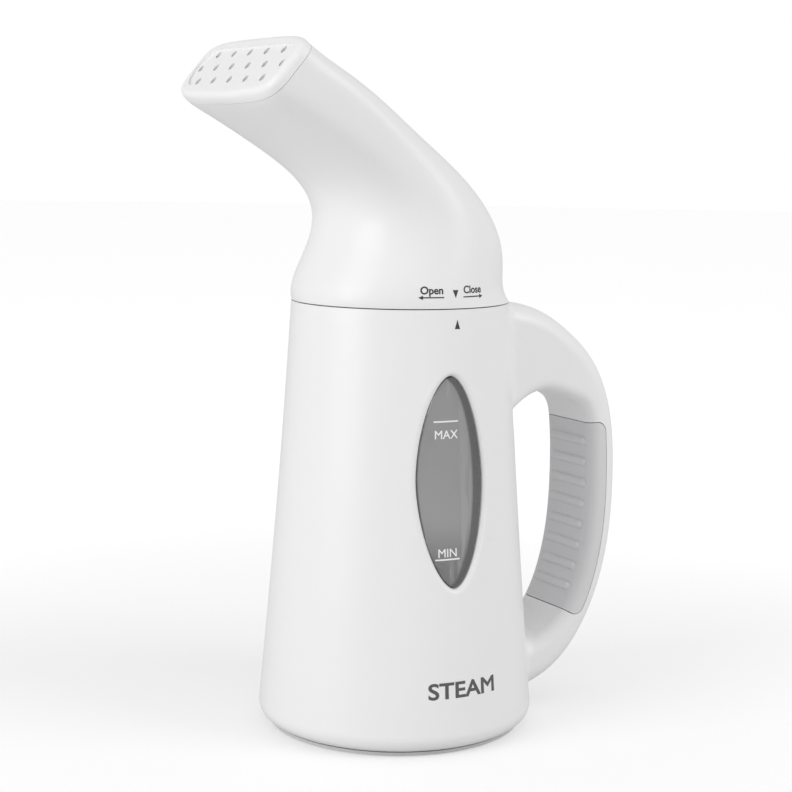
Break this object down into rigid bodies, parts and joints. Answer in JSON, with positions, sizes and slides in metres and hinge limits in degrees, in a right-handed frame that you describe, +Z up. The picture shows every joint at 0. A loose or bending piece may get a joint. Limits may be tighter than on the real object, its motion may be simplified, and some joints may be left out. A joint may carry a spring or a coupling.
{
  "type": "garment steamer",
  "caption": "Handheld kettle-style garment steamer with a screw-off nozzle head, smoked water window, C handle and flat round base.",
  "frame": {"origin": "centre of the foot ring on the surface the steamer stands on, on the body's vertical axis", "axes": "+Z up, +X towards the handle, -X towards the nozzle, -Y the side with the water window and the printed marks"},
  "size_m": [0.1673, 0.1036, 0.2535],
  "materials": {
    "white_gloss": "smooth white moulded plastic",
    "white_satin": "fine satin white moulded plastic",
    "light_grey": "satin light grey plastic",
    "smoked_clear": "polished smoked clear plastic",
    "foot_rubber": "soft light grey rubber",
    "silicone": "translucent white silicone",
    "cast_aluminium": "die-cast, slightly rough",
    "steel": "zinc plated",
    "element_sheath": "heat-darkened steel sheath",
    "brass": "tinned brass terminals",
    "ceramic": "unglazed ceramic and sleeve",
    "lead_brown": "silicone insulated lead, brown",
    "lead_blue": "silicone insulated lead, blue",
    "lead_green": "silicone insulated lead, green and yellow"
  },
  "bodies": {
    "body": {"body_shell": "white_gloss", "grip_cover": "white_satin", "foot_ring": "foot_rubber", "base_cover": "light_grey", "base_screws": "steel", "water_tank": "smoked_clear", "tank_seal": "silicone", "neck_ring": "white_satin", "neck_screws": "steel", "boiler_core": "cast_aluminium", "boiler_gasket": "silicone", "boiler_screws": "steel", "boiler_sleeve": "white_satin", "steam_riser": "white_satin", "riser_seal": "silicone", "heating_element": "element_sheath", "thermostat": "ceramic", "thermostat_bracket": "steel", "thermal_fuse": "ceramic", "fuse_clip": "steel", "terminal_block": "light_grey", "terminal_screws": "brass", "live_lead": "lead_brown", "neutral_lead": "lead_blue", "earth_lead": "lead_green", "fuse_feed_lead": "lead_brown", "fuse_return_lead": "lead_brown", "earth_tag": "brass", "crimps": "brass", "cord_bushing": "light_grey", "cord_clamp": "light_grey", "clamp_screws": "steel"},
    "seal_ring": {"head_seal": "silicone"},
    "head": {"nozzle_shell": "white_gloss", "nozzle_face": "white_gloss", "thread_collar": "white_satin", "collar_screws": "steel", "steam_duct": "white_satin", "drip_baffle": "white_satin"}
  },
  "joints": [
    {"name": "head_lift", "type": "slide", "parent": "body", "child": "seal_ring", "axis": [0, 0, 1], "range_m": [0, 0.01]},
    {"name": "head_twist", "type": "hinge", "parent": "seal_ring", "child": "head", "pos_m": [0, 0, 0.17], "axis": [0, 0, -1], "range_deg": [0, 120]}
  ],
  "couplings": [
    {"joint": "head_lift", "follows": "head_twist", "m_per_rad": 0.0047747}
  ]
}
